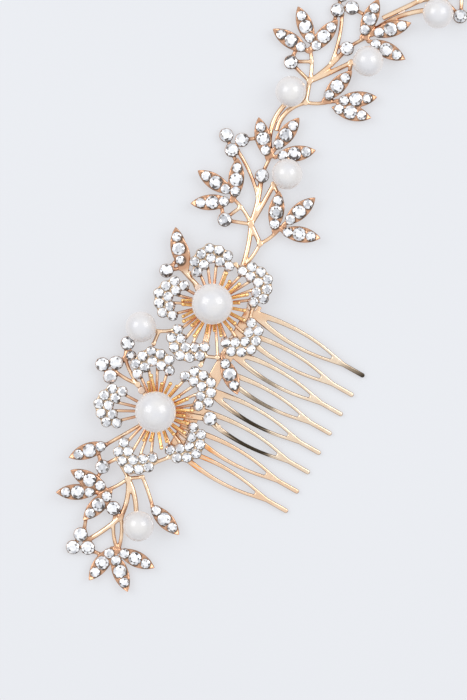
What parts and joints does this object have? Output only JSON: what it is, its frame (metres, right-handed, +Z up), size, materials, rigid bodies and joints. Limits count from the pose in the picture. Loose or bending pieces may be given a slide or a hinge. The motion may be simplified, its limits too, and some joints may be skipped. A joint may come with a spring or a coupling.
{
  "type": "decorative hair comb",
  "caption": "Hair comb that holds a bridal hair vine: paved flowers with pearl centres, leafy sprigs set with round stones and small pearls, and a hairpin eyelet at the vine's end.",
  "frame": {"origin": "bottom centre of the overall box: the middle of the footprint, on the table the comb lies on", "axes": "+Z up towards the decorated side, +Y along the length towards the vine's end, +X to the right towards the comb's teeth"},
  "size_m": [0.094, 0.137, 0.0119],
  "materials": {
    "comb_metal": "polished",
    "casting_metal": "polished",
    "stamen_metal": "polished",
    "solder": "satin",
    "stone": "polished",
    "pearl": "pearlescent"
  },
  "bodies": {
    "root": {"comb_plate": "comb_metal", "comb_solder": "solder", "inner_leaf": "casting_metal", "inner_leaf_large_stones": "stone", "inner_leaf_small_stones": "stone", "leaf_sprig": "casting_metal", "leaf_sprig_large_stones": "stone", "leaf_sprig_small_stones": "stone", "lower_flower": "casting_metal", "lower_flower_large_stones": "stone", "lower_flower_small_stones": "stone", "lower_pearl": "pearl", "lower_pearl_dish": "stamen_metal", "lower_sprig": "casting_metal", "lower_sprig_large_stones": "stone", "lower_sprig_small_stones": "stone", "lower_stamens": "stamen_metal", "side_sprig": "casting_metal", "side_sprig_large_stones": "stone", "side_sprig_small_stones": "stone", "small_pearl_1": "pearl", "small_pearl_2": "pearl", "small_pearl_3": "pearl", "small_pearl_4": "pearl", "small_pearl_5": "pearl", "small_pearl_6": "pearl", "small_pearl_7": "pearl", "sprig_solder": "solder", "upper_flower": "casting_metal", "upper_flower_small_stones": "stone", "upper_pearl": "pearl", "upper_pearl_dish": "stamen_metal", "upper_stamens": "stamen_metal", "vine_solder": "solder", "vine_sprig_1": "casting_metal", "vine_sprig_1_large_stones": "stone", "vine_sprig_1_small_stones": "stone", "vine_sprig_2": "casting_metal", "vine_sprig_2_large_stones": "stone", "vine_sprig_2_small_stones": "stone", "vine_sprig_3": "casting_metal", "vine_sprig_3_large_stones": "stone", "vine_sprig_3_small_stones": "stone"}
  },
  "joints": []
}
